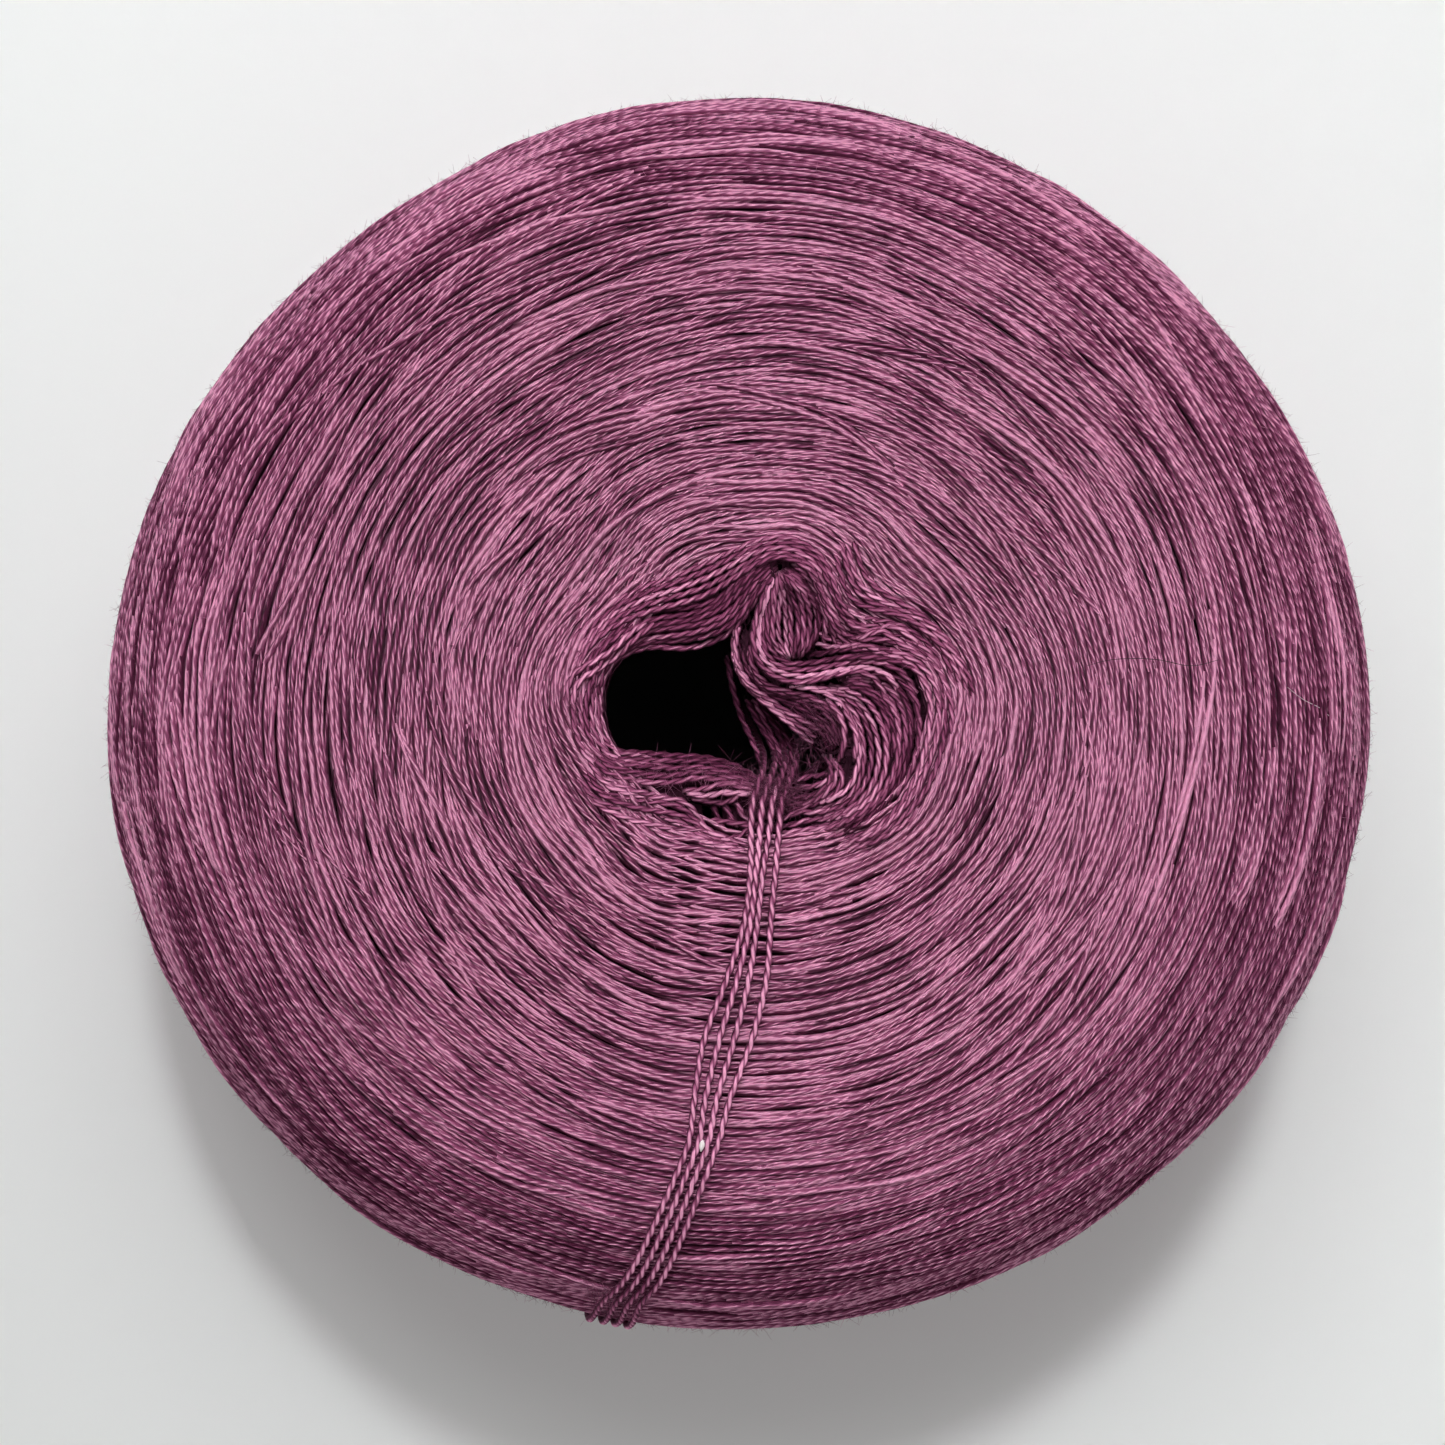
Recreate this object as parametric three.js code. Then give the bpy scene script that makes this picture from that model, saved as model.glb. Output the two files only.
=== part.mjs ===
// A yarn cake: a wound roll of fine mauve thread with a hollow, partly collapsed centre.
// Millimetres, +Z up, the origin at the middle of the flat underside.

import * as THREE from "three";

// Driving dimensions of the roll
const HEIGHT = 64;
const MEAN_RADIUS = 54.25; // of the widest ring
const WIDEST_LEVEL = 33;
const CROWN_RADIUS = 27; // of the highest ring
const FOOT_RADIUS = 36; // outer edge of the flat underside
const BORE_RADIUS = 13; // of the round hole that the spindle left
const LIP_DROP = 2.6; // how far the crown sinks towards the hole
const SHOULDER_CURVE = { across: 2.6, up: 2.2 }; // exponents of the upper side
const FOOT_CURVE = { across: 2.2, up: 2.0 }; // exponents of the lower side

// How far the wound outline departs from a circle: lobes round it, height in mm, turn in degrees
const OUTLINE_LOBES = [
  { lobes: 1, height: 0.53, turn: 143.9 },
  { lobes: 2, height: 0.69, turn: -13.6 },
  { lobes: 3, height: 0.22, turn: 82.8 },
  { lobes: 4, height: 0.18, turn: 26.2 },
  { lobes: 5, height: 0.09, turn: -80.7 },
  { lobes: 6, height: 0.14, turn: 149.4 },
];

// Broad raised bands that the crossing turns leave on the top and on the side
const TOP_BANDS = [
  { lobes: 3, pitch: 8, height: 0.22 },
  { lobes: -5, pitch: 11, height: 0.18 },
];
const SIDE_BANDS = [
  { lobes: 9, pitch: 36, height: 0.28 },
  { lobes: -9, pitch: 36, height: 0.28 },
];

// The mouth of the hole, counter-clockwise from its left end: a wide lobe and a narrow tail
const MOUTH = [
  { x: -11.18, y: 0.93 },
  { x: -9.94, y: -3.02 },
  { x: -6.82, y: -3.67 },
  { x: -3.12, y: -3.84 },
  { x: 0.58, y: -4.66 },
  { x: 3.46, y: -5.56 },
  { x: 6.33, y: -4.99 },
  { x: 6.91, y: -3.59 },
  { x: 5.1, y: -1.95 },
  { x: 3.05, y: -0.06 },
  { x: 0.74, y: 2.16 },
  { x: 0.0, y: 4.63 },
  { x: -1.31, y: 5.78 },
  { x: -3.94, y: 5.29 },
  { x: -8.05, y: 5.04 },
  { x: -10.35, y: 3.56 },
];

// The folds of the collapsed inner turns, each a raised arc: centre, radius, degrees, width, rise
const FOLDS = [
  { name: "left lip", x: -7.06, y: 0.68, radius: 6.0, from: 110, to: 250, width: 3.4, rise: 1.1 },
  { name: "lower lip", x: -3.12, y: -23.73, radius: 18.3, from: 70, to: 110, width: 3.0, rise: 1.1 },
  { name: "hood", x: -3.94, y: 13.67, radius: 6.9, from: 240, to: 350, width: 3.4, rise: 1.4 },
  { name: "arch", x: 3.95, y: 8.6, radius: 4.0, from: -20, to: 160, width: 2.4, rise: 1.7 },
  { name: "tongue left", x: -13.8, y: 8.1, radius: 16.7, from: -9, to: 10, width: 1.9, rise: 2.2 },
  { name: "tongue right", x: -0.9, y: 8.1, radius: 6.2, from: -30, to: 28, width: 1.9, rise: 2.2 },
  { name: "cradle", x: 4.85, y: 6.4, radius: 4.1, from: 185, to: 300, width: 2.4, rise: 2.4 },
  { name: "curl", x: 9.87, y: 1.92, radius: 2.6, from: -40, to: 120, width: 2.2, rise: 2.2 },
  { name: "inner bow", x: 5.1, y: -3.18, radius: 4.2, from: -55, to: 75, width: 2.3, rise: 3.0 },
  { name: "middle bow", x: 6.3, y: -2.9, radius: 6.2, from: -62, to: 75, width: 2.3, rise: 2.7 },
  { name: "outer bow", x: 7.2, y: -1.95, radius: 8.4, from: -65, to: 65, width: 2.6, rise: 1.7 },
];

// The hollows between the folds
const HOLLOWS = [
  { name: "sunk middle", x: 6.2, y: -0.4, radius: 6.4, depth: 3.6 },
  { name: "under the arch", x: 4.3, y: 7.6, radius: 2.8, depth: 1.9 },
  { name: "pocket on the right", x: 12.4, y: 1.4, radius: 1.6, depth: 1.3 },
  { name: "gap in the lower lip", x: -2.3, y: -8.28, radius: 1.2, depth: 1.5 },
];

// The loose end: four threads, and for each row the x of each of them from left to right
const THREAD_DIAMETER = 0.62;
const THREAD_SIDES = 8;
const THREAD_STEPS = 66;
const THREAD_CLEARANCE = 0.52; // between a thread and the roll, on the smooth surface
// Inside the hole, from the wound wall up to the mouth
const THREADS_IN_HOLE = [
  { y: 12.0, z: 22, x: [-0.4, 0.6, 1.6, 2.6] },
  { y: 8.6, z: 25.5, x: [-0.3, 0.7, 1.7, 2.7] },
  { y: 5.2, z: 30.5, x: [-0.2, 0.8, 1.8, 2.8] },
  { y: 1.9, z: 38, x: [-0.1, 0.9, 1.9, 2.9] },
  { y: -0.4, z: 45, x: [0.7, 1.7, 2.7, 3.7] },
  { y: -2.4, z: 51.5, x: [1.6, 2.6, 3.6, 4.6] },
  { y: -4.0, z: 57.5, x: [2.0, 3.0, 4.0, 5.0] },
];
// Over the top, where the second thread rides over its neighbours by the height of the hump
const THREADS_ON_TOP = [
  { y: -5.6, x: [1.6, 2.56, 3.52, 4.48], hump: 0 },
  { y: -7.3, x: [1.0, 1.95, 2.9, 3.85], hump: 0 },
  { y: -9.7, x: [0.82, 1.72, 2.66, 3.62], hump: 0.4 },
  { y: -13.0, x: [0.9, 1.42, 2.05, 3.26], hump: 0.85 },
  { y: -17.0, x: [0.5, 1.0, 1.6, 2.76], hump: 0.8 },
  { y: -21.9, x: [-0.95, -0.1, 0.85, 2.27], hump: 0.4 },
  { y: -26.7, x: [-2.69, -1.5, -0.33, 1.05], hump: 0 },
  { y: -31.6, x: [-3.65, -2.7, -1.7, -0.58], hump: 0 },
  { y: -34.9, x: [-4.2, -3.24, -2.28, -1.3], hump: 0 },
  { y: -38.3, x: [-5.5, -4.5, -3.5, -2.5], hump: 0 },
  { y: -41.7, x: [-6.8, -5.82, -4.84, -3.86], hump: 0 },
  { y: -45.4, x: [-8.4, -7.4, -6.4, -5.4], hump: 0 },
  { y: -47.6, x: [-9.7, -8.6, -7.55, -6.5], hump: 0 },
  { y: -49.5, x: [-11.3, -10.1, -9.0, -7.95], hump: 0 },
];
// Down the side: level, and how far each is turned round from straight below, in degrees
const THREADS_ON_SIDE = [
  { z: 48.5, turn: [-13.4, -12.05, -10.8, -9.6] },
  { z: 44, turn: [-13.7, -12.4, -11.2, -10.0] },
  { z: 37, turn: [-14.0, -12.7, -11.5, -10.3] },
  { z: 30, turn: [-14.1, -12.8, -11.6, -10.4] },
  { z: 23, turn: [-14.0, -12.7, -11.5, -10.3] },
  { z: 17, turn: [-13.8, -12.5, -11.3, -10.1] },
];

// How finely the roll is divided
const AZIMUTHS = 108;
const FOLD_SIDE_BIAS = 0.25; // steps are closer together on the side of the folds
const LIP_RINGS = 22;
const SHOULDER_RINGS = 10;
const FOOT_RINGS = 7;
const BORE_RINGS = 9;
const UNDERSIDE_RINGS = [
  { radius: 27, level: 0 },
  { radius: 18, level: 0 },
  { radius: 15.3, level: 0.5 },
  { radius: 13.7, level: 2.0 },
];
const BORE_FOOT_LEVEL = 5;
const LIP_ROUNDING = { share: 0.08, drop: 1.1 };

const degrees = THREE.MathUtils.degToRad;
const mix = THREE.MathUtils.lerp;
const ease = (value) => THREE.MathUtils.smoothstep(value, 0, 1);

function widestRadius(angle) {
  let radius = MEAN_RADIUS;
  for (const { lobes, height, turn } of OUTLINE_LOBES) {
    radius += height * Math.cos(lobes * angle + degrees(turn));
  }
  return radius;
}

// The height that the crossing turns add, by the angle and the distance along the surface
function bandHeight(bands, angle, distance) {
  let rise = 0;
  for (const { lobes, pitch, height } of bands) {
    rise += height * Math.cos(lobes * angle + (2 * Math.PI * distance) / pitch);
  }
  return rise;
}

// A rounded side between a flat ring and the widest ring: turn runs from 0 to a quarter
function sidePoint(angle, turn, innerRadius, flatLevel, curve) {
  const across = Math.sin(turn) ** (2 / curve.across);
  const up = Math.cos(turn) ** (2 / curve.up);
  const level = WIDEST_LEVEL + (flatLevel - WIDEST_LEVEL) * up;
  const swell = bandHeight(SIDE_BANDS, angle, level) * across ** 4;
  const lift = bandHeight(TOP_BANDS, angle, innerRadius) * up ** 2;
  return {
    radius: innerRadius + (widestRadius(angle) - innerRadius) * across + swell,
    level: flatLevel > WIDEST_LEVEL ? level + lift : level,
  };
}

function foldHeight(fold, x, y) {
  const across = x - fold.x;
  const up = y - fold.y;
  const middle = degrees((fold.from + fold.to) / 2);
  const half = degrees((fold.to - fold.from) / 2);
  const away = Math.atan2(up, across) - middle;
  const turned = Math.atan2(Math.sin(away), Math.cos(away));
  const nearest = middle + THREE.MathUtils.clamp(turned, -half, half);
  const gap = Math.hypot(
    across - fold.radius * Math.cos(nearest),
    up - fold.radius * Math.sin(nearest),
  );
  return fold.rise * Math.exp(-((gap / (fold.width / 2)) ** 2));
}

// The height of the top inside the crown ring, folds and hollows included
function topHeight(x, y) {
  const radius = Math.min(Math.hypot(x, y), CROWN_RADIUS);
  const inward = 1 - radius / CROWN_RADIUS;
  let sink = LIP_DROP * Math.min(1, inward * 1.6) ** 2;
  for (const hollow of HOLLOWS) {
    const gap = Math.hypot(x - hollow.x, y - hollow.y) / hollow.radius;
    sink += hollow.depth * Math.exp(-gap * gap);
  }
  const rise = Math.max(0, ...FOLDS.map((fold) => foldHeight(fold, x, y)));
  const angle = Math.atan2(y, x);
  return HEIGHT - sink + rise + bandHeight(TOP_BANDS, angle, radius) * ease(radius / 18);
}

// How far round the roll each step is, as a share of a turn from the mouth's left end
function stepShares() {
  const shares = [];
  for (let step = 0; step < AZIMUTHS; step += 1) {
    const even = step / AZIMUTHS;
    shares.push(even + (FOLD_SIDE_BIAS * Math.sin(2 * Math.PI * even)) / (2 * Math.PI));
  }
  return shares;
}

function mouthPoints() {
  const points = MOUTH.map(({ x, y }) => new THREE.Vector3(x, y, 0));
  const outline = new THREE.CatmullRomCurve3(points, true, "centripetal");
  return stepShares().map((share) => outline.getPointAt(share));
}

// Every ring of the roll, from the lip of the hole outward, down, under, and up the bore
function rollRings() {
  const mouth = mouthPoints();
  const angles = stepShares().map((share) => Math.PI + 2 * Math.PI * share);
  const rings = [];
  const lipLevel = (point) => topHeight(point.x, point.y) - LIP_ROUNDING.drop;

  for (let ring = 0; ring < LIP_RINGS; ring += 1) {
    const share = (ring / LIP_RINGS) ** 1.2;
    const edge = Math.max(0, 1 - share / LIP_ROUNDING.share) ** 2;
    rings.push(mouth.map((point, step) => {
      const x = mix(point.x, CROWN_RADIUS * Math.cos(angles[step]), share);
      const y = mix(point.y, CROWN_RADIUS * Math.sin(angles[step]), share);
      return new THREE.Vector3(x, y, topHeight(x, y) - LIP_ROUNDING.drop * edge);
    }));
  }
  for (let ring = 0; ring <= SHOULDER_RINGS; ring += 1) {
    const turn = (Math.PI / 2) * (ring / SHOULDER_RINGS);
    rings.push(angles.map((angle) => {
      const { radius, level } = sidePoint(angle, turn, CROWN_RADIUS, HEIGHT, SHOULDER_CURVE);
      return new THREE.Vector3(radius * Math.cos(angle), radius * Math.sin(angle), level);
    }));
  }
  for (let ring = FOOT_RINGS - 1; ring >= 0; ring -= 1) {
    const turn = (Math.PI / 2) * (ring / FOOT_RINGS);
    rings.push(angles.map((angle) => {
      const { radius, level } = sidePoint(angle, turn, FOOT_RADIUS, 0, FOOT_CURVE);
      return new THREE.Vector3(radius * Math.cos(angle), radius * Math.sin(angle), level);
    }));
  }
  for (const { radius, level } of UNDERSIDE_RINGS) {
    rings.push(angles.map((angle) =>
      new THREE.Vector3(radius * Math.cos(angle), radius * Math.sin(angle), level)));
  }
  for (let ring = 0; ring < BORE_RINGS; ring += 1) {
    const share = ring / BORE_RINGS;
    const toMouth = ease((share - 0.35) / 0.65);
    rings.push(mouth.map((point, step) => new THREE.Vector3(
      mix(BORE_RADIUS * Math.cos(angles[step]), point.x, toMouth),
      mix(BORE_RADIUS * Math.sin(angles[step]), point.y, toMouth),
      mix(BORE_FOOT_LEVEL, lipLevel(point), share),
    )));
  }
  return rings;
}

// Joins rings of equal length into one closed ring-shaped body
function closedBody(rings) {
  const positions = [];
  const faces = [];
  const around = rings[0].length;
  for (const ring of rings) {
    for (const point of ring) {
      positions.push(point.x, point.y, point.z);
    }
  }
  for (let ring = 0; ring < rings.length; ring += 1) {
    const next = (ring + 1) % rings.length;
    for (let step = 0; step < around; step += 1) {
      const beside = (step + 1) % around;
      const corner = ring * around + step;
      const along = ring * around + beside;
      const outward = next * around + step;
      const opposite = next * around + beside;
      faces.push(corner, outward, opposite);
      faces.push(corner, opposite, along);
    }
  }
  const geometry = new THREE.BufferGeometry();
  geometry.setAttribute("position", new THREE.Float32BufferAttribute(positions, 3));
  geometry.setIndex(faces);
  geometry.computeVertexNormals();
  return geometry;
}

// The height of the middle of a thread that lies on the top at (x, y)
function threadLevel(x, y) {
  const reach = 0.5;
  const slopeX = (upperLevel(x + reach, y) - upperLevel(x - reach, y)) / (2 * reach);
  const slopeY = (upperLevel(x, y + reach) - upperLevel(x, y - reach)) / (2 * reach);
  const lift = THREAD_CLEARANCE + THREAD_DIAMETER / 2;
  return upperLevel(x, y) + lift * Math.hypot(1, slopeX, slopeY);
}

function upperLevel(x, y) {
  const radius = Math.hypot(x, y);
  if (radius < CROWN_RADIUS) {
    return topHeight(x, y);
  }
  const angle = Math.atan2(y, x);
  const share = (radius - CROWN_RADIUS) / (widestRadius(angle) - CROWN_RADIUS);
  const turn = Math.asin(Math.min(1, share) ** (SHOULDER_CURVE.across / 2));
  return sidePoint(angle, turn, CROWN_RADIUS, HEIGHT, SHOULDER_CURVE).level;
}

// How far from the axis the side is, at a level
function sideRadius(angle, level) {
  const upper = level > WIDEST_LEVEL;
  const curve = upper ? SHOULDER_CURVE : FOOT_CURVE;
  const flatLevel = upper ? HEIGHT : 0;
  const up = (level - WIDEST_LEVEL) / (flatLevel - WIDEST_LEVEL);
  const turn = Math.acos(up ** (curve.up / 2));
  return sidePoint(angle, turn, upper ? CROWN_RADIUS : FOOT_RADIUS, flatLevel, curve).radius;
}

// The line that one thread of the loose end follows, from inside the hole to low on the side
function threadRoute(index) {
  const points = THREADS_IN_HOLE.map(({ x, y, z }) => new THREE.Vector3(x[index], y, z));
  for (const { y, x, hump } of THREADS_ON_TOP) {
    const level = threadLevel(x[index], y) + (index === 1 ? hump : 0);
    points.push(new THREE.Vector3(x[index], y, level));
  }
  for (const { z, turn } of THREADS_ON_SIDE) {
    const angle = degrees(turn[index] - 90);
    const radius = sideRadius(angle, z) + THREAD_CLEARANCE + THREAD_DIAMETER / 2;
    points.push(new THREE.Vector3(radius * Math.cos(angle), radius * Math.sin(angle), z));
  }
  return new THREE.CatmullRomCurve3(points, false, "centripetal");
}

function threadSection() {
  const corners = [];
  for (let side = 0; side < THREAD_SIDES; side += 1) {
    const angle = (2 * Math.PI * side) / THREAD_SIDES;
    const radius = THREAD_DIAMETER / 2;
    corners.push(new THREE.Vector2(radius * Math.cos(angle), radius * Math.sin(angle)));
  }
  return new THREE.Shape(corners);
}

const yarnMaterial = () => new THREE.MeshStandardMaterial({
  color: new THREE.Color(0.62, 0.38, 0.5),
  roughness: 0.9,
  metalness: 0,
});

function woundYarn() {
  const mesh = new THREE.Mesh(closedBody(rollRings()), yarnMaterial());
  mesh.name = "wound_yarn";
  return mesh;
}

function looseThread(index) {
  const geometry = new THREE.ExtrudeGeometry(threadSection(), {
    steps: THREAD_STEPS,
    bevelEnabled: false,
    extrudePath: threadRoute(index),
  });
  const mesh = new THREE.Mesh(geometry, yarnMaterial());
  mesh.name = `loose_thread_${index + 1}`;
  return mesh;
}

const yarnCake = new THREE.Group();
yarnCake.add(woundYarn());
for (let index = 0; index < 4; index += 1) {
  yarnCake.add(looseThread(index));
}

export default yarnCake;
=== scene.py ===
"""Looks of the yarn cake. Every turn of thread that shows is a tube of its own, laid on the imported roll.

Sizes are in millimetres until a mesh is written. A place on the roll is given by its level and its angle
about the axis. The level is the distance along the surface from the middle of the top, over the shoulder
and down the side to the underside.
"""

from functools import partial

import bpy
import numpy as np
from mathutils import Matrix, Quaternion, Vector
from mathutils.bvhtree import BVHTree

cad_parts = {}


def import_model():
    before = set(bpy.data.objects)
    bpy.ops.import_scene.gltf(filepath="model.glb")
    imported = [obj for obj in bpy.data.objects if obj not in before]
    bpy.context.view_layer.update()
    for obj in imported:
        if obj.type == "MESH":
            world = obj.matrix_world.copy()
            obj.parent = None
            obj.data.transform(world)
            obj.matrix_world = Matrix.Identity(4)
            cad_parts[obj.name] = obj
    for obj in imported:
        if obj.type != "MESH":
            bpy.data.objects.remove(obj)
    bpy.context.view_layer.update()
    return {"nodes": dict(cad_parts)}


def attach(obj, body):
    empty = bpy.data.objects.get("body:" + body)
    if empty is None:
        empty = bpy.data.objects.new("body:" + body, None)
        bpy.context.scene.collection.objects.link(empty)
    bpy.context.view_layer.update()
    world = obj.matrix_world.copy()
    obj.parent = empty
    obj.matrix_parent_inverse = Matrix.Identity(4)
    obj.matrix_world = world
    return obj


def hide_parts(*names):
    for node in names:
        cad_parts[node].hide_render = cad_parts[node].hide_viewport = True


MM = 0.001

# The roll's mean outline, as in its solid
HEIGHT = 64.0
MEAN_RADIUS = 54.25
WIDEST_LEVEL = 33.0
CROWN_RADIUS = 27.0
FOOT_RADIUS = 36.0
OUTLINE_END_RADIUS = 11.5
OUTLINE_TRIM = (0.25, 0.55, 165)  # how far the threads stay inside the solid: mean, shift, its direction
SHOULDER_POWERS = (2.6, 2.2)
FOOT_POWERS = (2.2, 2.0)

# The thread
THREAD_RADIUS = 0.275
THREAD_PITCH = 0.56
TWIST_PITCH = 2.5
PLY_RADIUS = 0.19
PLY_OFFSET = 0.125
PLY_DEPTH = 0.09
PLY_SHADE = 1.4
PLY_SHADE_IN_CENTRE = 0.75
PLY_SEED_STEP = 0.37
BAND_THREADS = 4
BAND_TONES = 0.3
LOWER_FULLNESS = 1.3
FLOOR_GAP = 0.02
CORE_DEPTHS = (0.75, 2.6)
SPLINE_STEPS = 16
BUNDLE_STEP = 0.4
BAKE_CELL_SHAPE = 0.7
UP = (0.0, 0.0, 1.0)

# How the turns are laid. Rings are given by their level.
SMALLEST_TURN = 8.0
INNERMOST_RING = 13.0
# The top's threads get darker from the first of these rings to the last: painted shade towards the rim.
RIM_RINGS = (26, 56)
RIM_PAINTED_SHADE = -1.1
TOP_PIECES = (("winding_inner", 13.0, 36.0), ("winding_middle", 36.0, 51.0), ("winding_outer", 51.0, 66.0))
# The lower layer of the top has a lighter tone: painted light in the gaps between the threads above it.
TOP_LOWER_RINGS = (12.0, 63.0, -0.10, 0.3, 2.4)  # first, last, height above the roll, tone, length of a step
SIDE_BASE_RINGS = (58.0, 117.0, -0.62, -0.15, 3.0)
SIDE_LAYERS = (("side_lower", 30, -0.3, 1), ("side_upper", 26, 0.08, -1))  # name, bands, height, direction
SIDE_LEVELS = (54.0, 118.0)
SIDE_SPAN = 250.0  # how far round a band runs on its way down, in degrees
TOP_TURNS = {
    "cover": 1.0, "reach": (18, 70), "wander": 0.11, "wave": 0.09, "lift": 0.1, "dive": 0.35, "tone": -0.05,
    "step": 0.76,
}
STRAY_THREADS = {
    "cover": 0.4, "counts": (1, 1, 2, 2, 3, 4), "gaps": (0.95, 1.4), "reach": (12, 34), "bow": 1.0,
    "tilt": 1.6, "lift": 0.33, "dive": 0.8, "tone": 0.2, "step": 0.8,
}
UNDERSIDE_BANDS = {**STRAY_THREADS, "cover": 0.9, "lift": -0.3, "step": 1.8, "tone": 0.0}

# The wall of the hole
BORE_MIDDLE = (-2.0, 0.0)
BORE_RADIUS = 11.0
BORE_STEP = 1.5
BORE_ANGLES = 48

# The yarn's look: stops of colour from dark to light fibres, and how much each cause shifts them
YARN_COLOURS = (
    (0.02, (0.060, 0.008, 0.028)),
    (0.33, (0.185, 0.039, 0.099)),
    (0.62, (0.33, 0.095, 0.189)),
    (0.97, (0.76, 0.33, 0.51)),
)
YARN_SURFACE = {
    "Roughness": 0.85, "Specular IOR Level": 0.12, "Sheen Weight": 0.06, "Sheen Roughness": 0.5,
    "Sheen Tint": (0.9, 0.5, 0.7, 1),
}
TONE_WEIGHT = 0.3
HEATHER_WEIGHT = 1.3
HEATHER_RATE = 0.22
FIBRE_WEIGHT = 0.9
SLACK_RATE = 0.16
TWIST_SLACK = 1.2
SEED_SHIFT = 91.7
CORE_GRAIN = (900, 900, 2600)
# The body's colours are dark: painted shade below the turns that show.
CORE_COLOURS = ((0.3, (0.02, 0.004, 0.011)), (0.7, (0.075, 0.02, 0.042)))
FLOOR_COLOURS = ((0.3, (0.80, 0.82, 0.815)), (0.7, (0.82, 0.84, 0.835)))
FLOOR_HALF = 1.2

# Loose fibres: radius; first level, last level and count of the rings; then the spots that have many: corner
# and size in pixels, lowest height, tone, count
FIBRE_RADIUS = 0.016
FUZZY_RINGS = ((11.5, 112, 1100), (52, 76, 5200))
# The dark tones of these spots are painted shade in the hollows of the collapsed centre and where the loose
# end turns down over the rim.
FUZZY_SPOTS = (
    ((748, 778), (56, 26), 60.0, -0.9, 420),
    ((795, 700), (42, 64), 59.0, -0.8, 160),
    ((580, 1290), (58, 34), 48.0, -0.7, 220),
    ((640, 766), (110, 22), 61.0, -0.5, 120),
)

# Small things on the yarn: name, colour, height above the roll, route in pixels, radii along it
SMALL_THINGS = (
    ("dark_hair", (0.03, 0.012, 0.018), 0.85,
     (1085, 666, 1104, 661, 1125, 659, 1155, 660, 1190, 666, 1218, 660), (0.02, 0.032, 0.02)),
    ("light_fibre", (0.72, 0.66, 0.66), 0.95,
     (1292, 687, 1310, 699, 1331, 708, 1346, 719, 1359, 732), (0.015, 0.025, 0.015)),
    ("white_fluff", (0.80, 0.74, 0.74), 1.35,
     (703, 1137, 702, 1143, 701, 1149), (0.04, 0.2, 0.24, 0.16, 0.04)),
)

# The camera stands straight above the cake
CAMERA_PLACE = (-1.27, -0.92, 430.7)
PICTURE_PIXELS = 1445
FOCAL_PIXELS = 4500
SENSOR_WIDTH = 36.0

# The light: sizes in metres, angles in degrees. The room is dark straight above, where the camera is.
BOX_SIZE = 0.40
BOX_SPREAD = 9.0
BOX_POWER = 0.175
BOX_TARGET = (0.071, 0.124)
BOX_DIRECTION = (0.03, 0.44, 0.89)
BOX_DISTANCE = 0.9
BOX_ROLL = 30.0
LAMP_PLACE = (-0.01, 0.20, 0.42)
LAMP_SIZE = 0.28
LAMP_POWER = 0.76
ROOM_SLOPE = 0.25  # how much brighter the room is towards +Y
ROOM_LIGHT = (
    (0.0, (0.60, 0.60, 0.59)),
    (0.75, (0.62, 0.62, 0.61)),
    (0.93, (0.27, 0.27, 0.265)),
    (1.0, (0.05, 0.05, 0.05)),
)

# The loose end's four threads, as in their solids
CORD_LIFT = 0.83
CORD_STEP = 0.33
CORD_FULLNESS = 1.02
CORD_SQUEEZE = (  # y, share of the solids' spacing
    (-45, 0.95), (-42, 0.92), (-38, 0.82), (-34, 0.84), (-29, 1.05), (-20, 1.0), (-13, 0.86), (-9, 0.8),
    (-4, 0.9),
)
CORD_SIDES = 6
OUT_ON_TOP = (0.0, -0.35, 0.94)
OUT_IN_HOLE = (0.0, -0.7, 0.7)
THREADS_IN_HOLE = (  # y, z, x of the first thread; the next ones lie 1 mm further each
    (12.0, 22.0, -0.4), (8.6, 25.5, -0.3), (5.2, 30.5, -0.2), (1.9, 38.0, -0.1), (-0.4, 45.0, 0.7),
    (-2.4, 51.5, 1.6), (-4.0, 57.5, 2.0),
)
THREADS_ON_TOP = (  # y, x of each thread, how far the second one humps over the others
    (-5.6, (1.6, 2.56, 3.52, 4.48), 0.0),
    (-7.3, (1.0, 1.95, 2.9, 3.85), 0.0),
    (-9.7, (0.82, 1.72, 2.66, 3.62), 0.4),
    (-13.0, (0.9, 1.42, 2.05, 3.26), 0.85),
    (-17.0, (0.5, 1.0, 1.6, 2.76), 0.8),
    (-21.9, (-0.95, -0.1, 0.85, 2.27), 0.4),
    (-26.7, (-2.69, -1.5, -0.33, 1.05), 0.0),
    (-31.6, (-3.65, -2.7, -1.7, -0.58), 0.0),
    (-34.9, (-4.2, -3.24, -2.28, -1.3), 0.0),
    (-38.3, (-5.5, -4.5, -3.5, -2.5), 0.0),
    (-41.7, (-6.8, -5.82, -4.84, -3.86), 0.0),
    (-45.4, (-8.4, -7.4, -6.4, -5.4), 0.0),
    (-47.6, (-9.7, -8.6, -7.55, -6.5), 0.0),
    (-49.5, (-11.3, -10.1, -9.0, -7.95), 0.0),
)
THREADS_ON_SIDE = (  # z, turn of each thread from straight below, in degrees
    (48.5, (-13.4, -12.05, -10.8, -9.6)),
    (44.0, (-13.7, -12.4, -11.2, -10.0)),
    (37.0, (-14.0, -12.7, -11.5, -10.3)),
    (30.0, (-14.1, -12.8, -11.6, -10.4)),
    (23.0, (-14.0, -12.7, -11.5, -10.3)),
    (17.0, (-13.8, -12.5, -11.3, -10.1)),
)

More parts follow.
